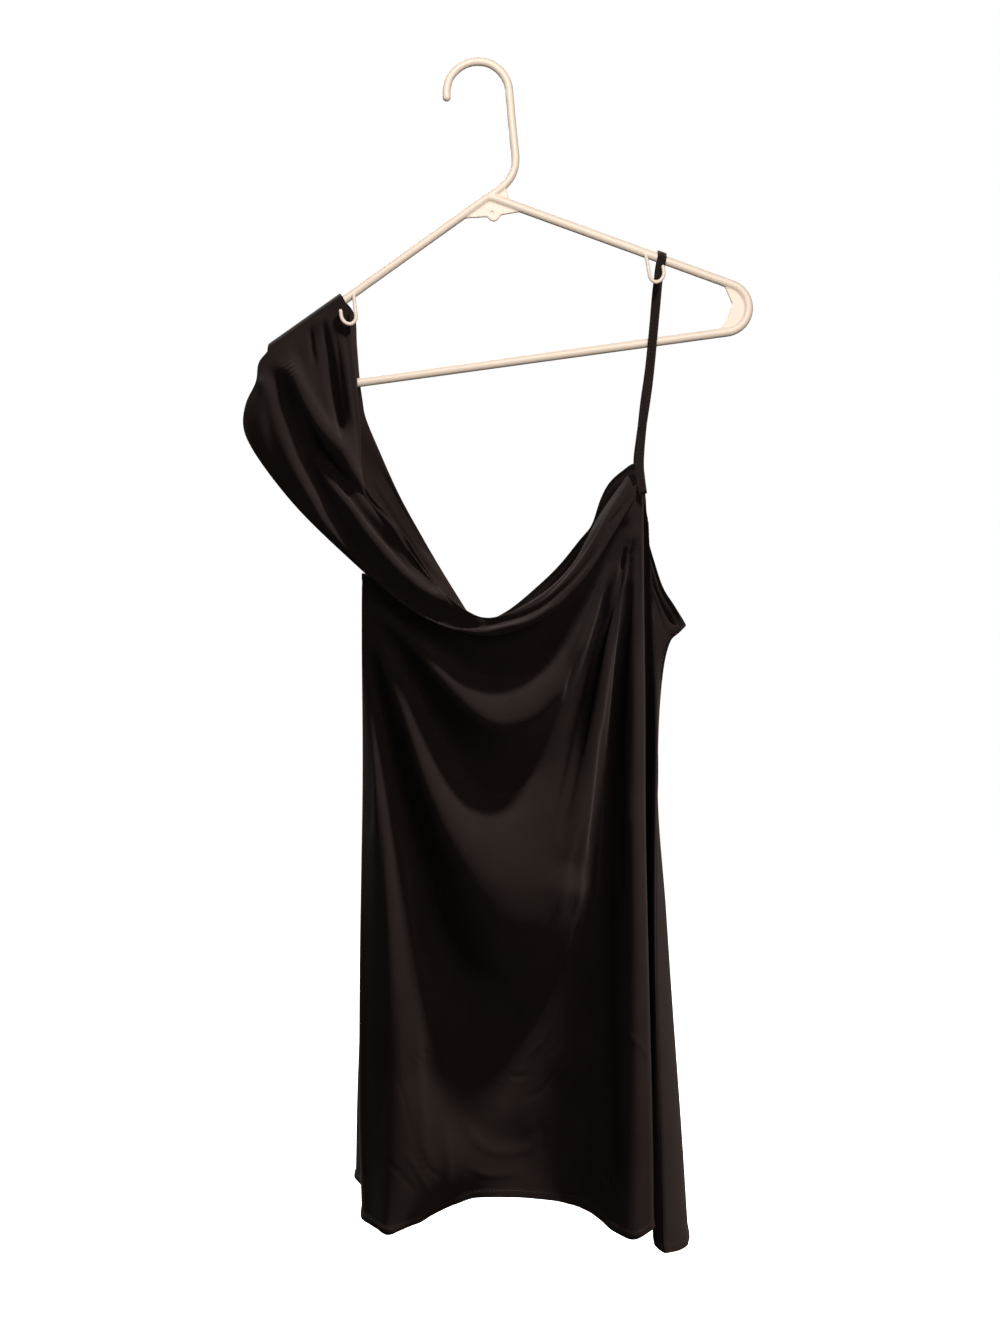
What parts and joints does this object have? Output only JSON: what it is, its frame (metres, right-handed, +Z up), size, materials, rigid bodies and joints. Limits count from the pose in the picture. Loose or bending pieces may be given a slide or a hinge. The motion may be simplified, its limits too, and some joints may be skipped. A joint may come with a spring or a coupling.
{
  "type": "mini dress on a clothes hanger",
  "caption": "One-shoulder mini dress with a cowl drape and a thin strap, hung on a moulded clothes hanger.",
  "frame": {"origin": "inside top of the hanger's hook, where a rail bears it", "axes": "+Z up, along the dress; +X to the right as the front is seen; +Y from the front to the back, through the dress's depth"},
  "size_m": [0.421, 0.1414, 0.9807],
  "materials": {
    "front_panel": "near-black warm jersey, soft sheen",
    "back_panel": "near-black warm jersey, soft sheen",
    "front_drape": "near-black warm jersey, soft sheen",
    "back_drape": "near-black warm jersey, soft sheen",
    "strap": "flat folded strap of the same jersey",
    "hanger": "pale peach moulded plastic, satin"
  },
  "bodies": {
    "root": {"front_panel": "front_panel", "back_panel": "back_panel", "front_drape": "front_drape", "back_drape": "back_drape", "strap": "strap", "hanger": "hanger"}
  },
  "joints": []
}
